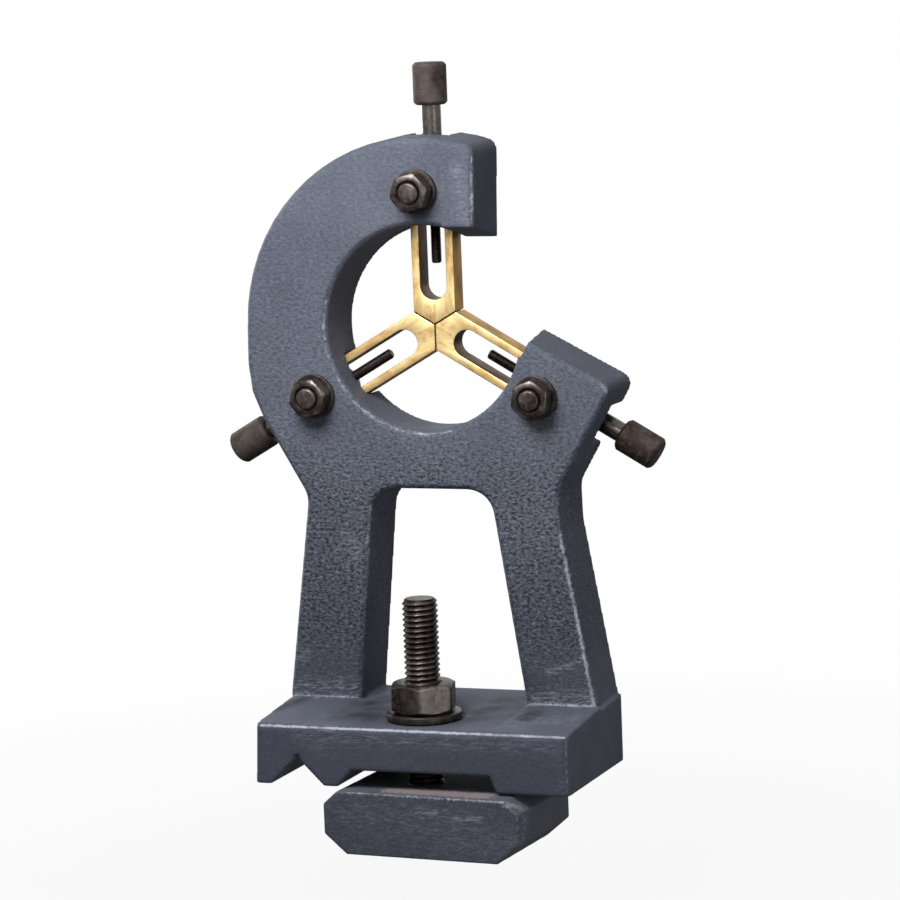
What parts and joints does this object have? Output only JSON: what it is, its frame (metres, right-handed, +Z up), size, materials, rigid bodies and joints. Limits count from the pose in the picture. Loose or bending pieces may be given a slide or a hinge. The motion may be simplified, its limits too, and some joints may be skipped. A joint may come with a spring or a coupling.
{
  "type": "lathe steady rest",
  "caption": "Open-ring steady rest for a lathe bed, with slotted brass fingers set by knurled screws, lock nuts and a clamp plate under the vee base.",
  "frame": {"origin": "on the plane of the bed lands, straight below the work axis, in the plane of the ring's front face", "axes": "+X across the bed towards the flat way, +Y along the bed and away from the clamp, +Z up"},
  "size_m": [0.13, 0.0542, 0.215],
  "materials": {
    "painted_casting": "hammered dark grey-blue paint",
    "plate_casting": "dark paint, bare machined top",
    "finger_brass": "sawn and filed brass",
    "blacked_steel": "brown-black oxide",
    "clip_steel": "spring steel"
  },
  "bodies": {
    "frame": {"frame_casting": "painted_casting", "top_lock_bolt": "blacked_steel", "left_lock_bolt": "blacked_steel", "right_lock_bolt": "blacked_steel", "clamp_washer": "blacked_steel"},
    "top_finger_body": {"top_finger": "finger_brass"},
    "top_screw_body": {"top_adjusting_screw": "blacked_steel", "top_retaining_clip": "clip_steel"},
    "top_washer_body": {"top_lock_washer": "blacked_steel"},
    "top_nut_body": {"top_lock_nut": "blacked_steel"},
    "left_finger_body": {"left_finger": "finger_brass"},
    "left_screw_body": {"left_adjusting_screw": "blacked_steel", "left_retaining_clip": "clip_steel"},
    "left_washer_body": {"left_lock_washer": "blacked_steel"},
    "left_nut_body": {"left_lock_nut": "blacked_steel"},
    "right_finger_body": {"right_finger": "finger_brass"},
    "right_screw_body": {"right_adjusting_screw": "blacked_steel", "right_retaining_clip": "clip_steel"},
    "right_washer_body": {"right_lock_washer": "blacked_steel"},
    "right_nut_body": {"right_lock_nut": "blacked_steel"},
    "clamp_nut_body": {"clamp_nut": "blacked_steel"},
    "clamp_stud_body": {"clamp_stud": "blacked_steel"},
    "clamp_plate_body": {"clamp_plate": "plate_casting"}
  },
  "joints": [
    {"name": "top_finger_slide", "type": "slide", "parent": "frame", "child": "top_finger_body", "axis": [0, 0, 1], "range_m": [0, 0.018]},
    {"name": "top_screw_turn", "type": "hinge", "parent": "top_finger_body", "child": "top_screw_body", "pos_m": [0, 0.0138, 0.124], "axis": [0, 0, 1], "range_deg": [0, 12960]},
    {"name": "top_washer_slide", "type": "slide", "parent": "frame", "child": "top_washer_body", "axis": [0, -1, 0], "range_m": [0, 0.002]},
    {"name": "top_lock_nut_turn", "type": "hinge", "parent": "top_washer_body", "child": "top_nut_body", "pos_m": [0, 0, 0.162], "axis": [0, -1, 0], "range_deg": [0, 720]},
    {"name": "left_finger_slide", "type": "slide", "parent": "frame", "child": "left_finger_body", "axis": [-0.866, 0, -0.5], "range_m": [0, 0.018]},
    {"name": "left_screw_turn", "type": "hinge", "parent": "left_finger_body", "child": "left_screw_body", "pos_m": [0, 0.0138, 0.124], "axis": [-0.866, 0, -0.5], "range_deg": [0, 12960]},
    {"name": "left_washer_slide", "type": "slide", "parent": "frame", "child": "left_washer_body", "axis": [0, -1, 0], "range_m": [0, 0.002]},
    {"name": "left_lock_nut_turn", "type": "hinge", "parent": "left_washer_body", "child": "left_nut_body", "pos_m": [-0.03291, 0, 0.105], "axis": [0, -1, 0], "range_deg": [0, 720]},
    {"name": "right_finger_slide", "type": "slide", "parent": "frame", "child": "right_finger_body", "axis": [0.866, 0, -0.5], "range_m": [0, 0.018]},
    {"name": "right_screw_turn", "type": "hinge", "parent": "right_finger_body", "child": "right_screw_body", "pos_m": [0, 0.0138, 0.124], "axis": [0.866, 0, -0.5], "range_deg": [0, 12960]},
    {"name": "right_washer_slide", "type": "slide", "parent": "frame", "child": "right_washer_body", "axis": [0, -1, 0], "range_m": [0, 0.002]},
    {"name": "right_lock_nut_turn", "type": "hinge", "parent": "right_washer_body", "child": "right_nut_body", "pos_m": [0.03291, 0, 0.105], "axis": [0, -1, 0], "range_deg": [0, 720]},
    {"name": "clamp_nut_turn", "type": "hinge", "parent": "frame", "child": "clamp_nut_body", "pos_m": [0.0018, -0.01415, 0], "axis": [0, 0, 1], "range_deg": [-72, 4800]},
    {"name": "clamp_drop", "type": "slide", "parent": "frame", "child": "clamp_stud_body", "axis": [0, 0, -1], "range_m": [-0.0003, 0.02]},
    {"name": "plate_swivel", "type": "hinge", "parent": "clamp_stud_body", "child": "clamp_plate_body", "pos_m": [0.0018, -0.01415, 0], "axis": [0, 0, 1], "range_deg": [-90, 90]}
  ],
  "couplings": [
    {"joint": "top_screw_turn", "follows": "top_finger_slide", "rad_per_m": 12566},
    {"joint": "top_lock_nut_turn", "follows": "top_washer_slide", "rad_per_m": 6283.2},
    {"joint": "left_screw_turn", "follows": "left_finger_slide", "rad_per_m": 12566},
    {"joint": "left_lock_nut_turn", "follows": "left_washer_slide", "rad_per_m": 6283.2},
    {"joint": "right_screw_turn", "follows": "right_finger_slide", "rad_per_m": 12566},
    {"joint": "right_lock_nut_turn", "follows": "right_washer_slide", "rad_per_m": 6283.2},
    {"joint": "clamp_nut_turn", "follows": "clamp_drop", "rad_per_m": 4188.8}
  ]
}
